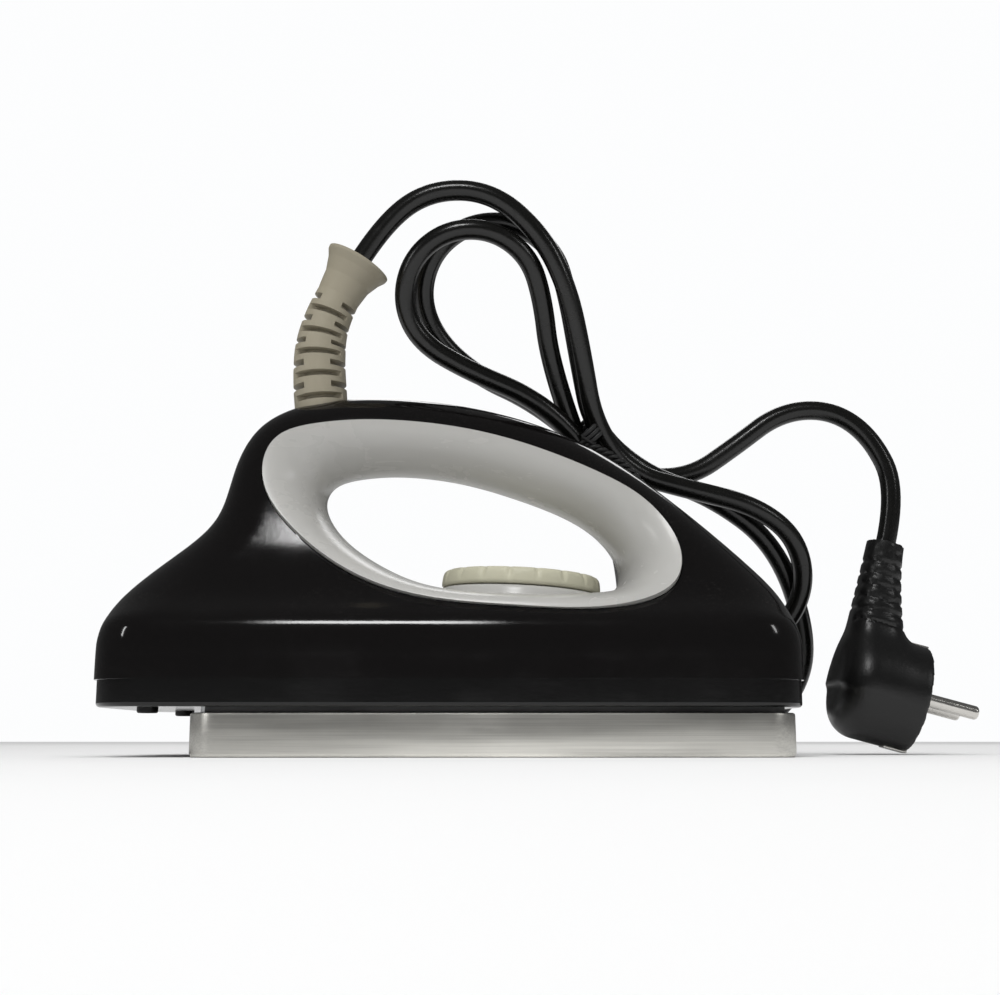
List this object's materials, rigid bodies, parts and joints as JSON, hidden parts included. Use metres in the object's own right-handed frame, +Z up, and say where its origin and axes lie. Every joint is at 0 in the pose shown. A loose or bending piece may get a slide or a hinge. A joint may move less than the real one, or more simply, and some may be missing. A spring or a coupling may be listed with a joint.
{
  "type": "waxing iron",
  "caption": "Electric ski waxing iron with a flat sole plate, lined finger opening, temperature dial, slotted cord guard and tied mains cord with an angled plug.",
  "frame": {"origin": "middle of the iron's footprint, on the surface that it stands on", "axes": "+X towards the toe, +Z up, +Y to the iron's left"},
  "size_m": [0.2902, 0.1304, 0.1965],
  "materials": {
    "plate_metal": "brushed, fine scratches along the length",
    "shell_black": "glossy moulded",
    "skirt_black": "glossy moulded",
    "liner_white": "smooth satin moulded",
    "dial_beige": "satin moulded",
    "guard_beige": "soft moulded",
    "cord_rubber": "smooth, slightly glossy",
    "tie_black": "matt coated wire",
    "plug_black": "semi-gloss moulded",
    "pin_steel": "polished nickel plate",
    "heater_tube": "drawn tube",
    "steel_zinc": "zinc plated",
    "spring_brass": "rolled strip",
    "ceramic": "unglazed steatite",
    "shield_sheet": "rolled sheet",
    "block_white": "moulded",
    "wire_brown": "glass-braid sleeve",
    "wire_blue": "silicone",
    "wire_green": "silicone"
  },
  "bodies": {
    "iron": {"sole_plate": "plate_metal", "heater_element": "heater_tube", "heater_beads": "ceramic", "heater_pins": "steel_zinc", "heater_clamps": "steel_zinc", "heater_clamp_screws": "steel_zinc", "heat_shield": "shield_sheet", "spacer_bushes": "steel_zinc", "base_skirt": "skirt_black", "skirt_screws": "steel_zinc", "upper_shell": "shell_black", "shell_screws": "steel_zinc", "liner_left": "liner_white", "liner_right": "liner_white", "cord_guard": "guard_beige", "cord_sheath": "cord_rubber", "cord_clamp": "block_white", "cord_clamp_screws": "steel_zinc", "terminal_block": "block_white", "terminal_screws": "steel_zinc", "live_wire": "wire_brown", "neutral_wire": "wire_blue", "earth_wire": "wire_green", "heater_link": "wire_brown", "fuse_link": "wire_brown", "thermal_fuse": "steel_zinc", "earth_tag": "steel_zinc", "earth_screw": "steel_zinc", "thermostat_frame": "steel_zinc", "spindle_bush": "spring_brass", "ceramic_washers": "ceramic", "stack_rivet": "steel_zinc", "bimetal_strip": "steel_zinc", "fixed_contact_leaf": "spring_brass", "arm_cheeks": "spring_brass", "cord_arch": "cord_rubber", "cord_hank": "cord_rubber", "cord_tail": "cord_rubber", "cord_tie": "tie_black", "plug_body": "plug_black", "plug_pins": "pin_steel", "plug_earth_clips": "pin_steel"},
    "dial_body": {"dial": "dial_beige", "dial_cap": "dial_beige", "thermostat_spindle": "steel_zinc"},
    "pusher": {"thermostat_pin": "ceramic"},
    "contact": {"contact_arm": "spring_brass"}
  },
  "joints": [
    {"name": "dial_turn", "type": "hinge", "parent": "iron", "child": "dial_body", "pos_m": [0.0223, 0, 0.0527], "axis": [0.0523, 0, 0.9986], "range_deg": [0, 270]},
    {"name": "pin_travel", "type": "slide", "parent": "iron", "child": "pusher", "axis": [-0.0523, 0, -0.9986], "range_m": [0, 0.0008]},
    {"name": "contact_press", "type": "hinge", "parent": "iron", "child": "contact", "pos_m": [0.009, 0, 0.0264], "axis": [0, 1, 0], "range_deg": [0, 3.7]}
  ],
  "couplings": [
    {"joint": "pin_travel", "follows": "dial_turn", "m_per_rad": 0.00016807},
    {"joint": "contact_press", "follows": "dial_turn", "ratio": 0.013567}
  ]
}
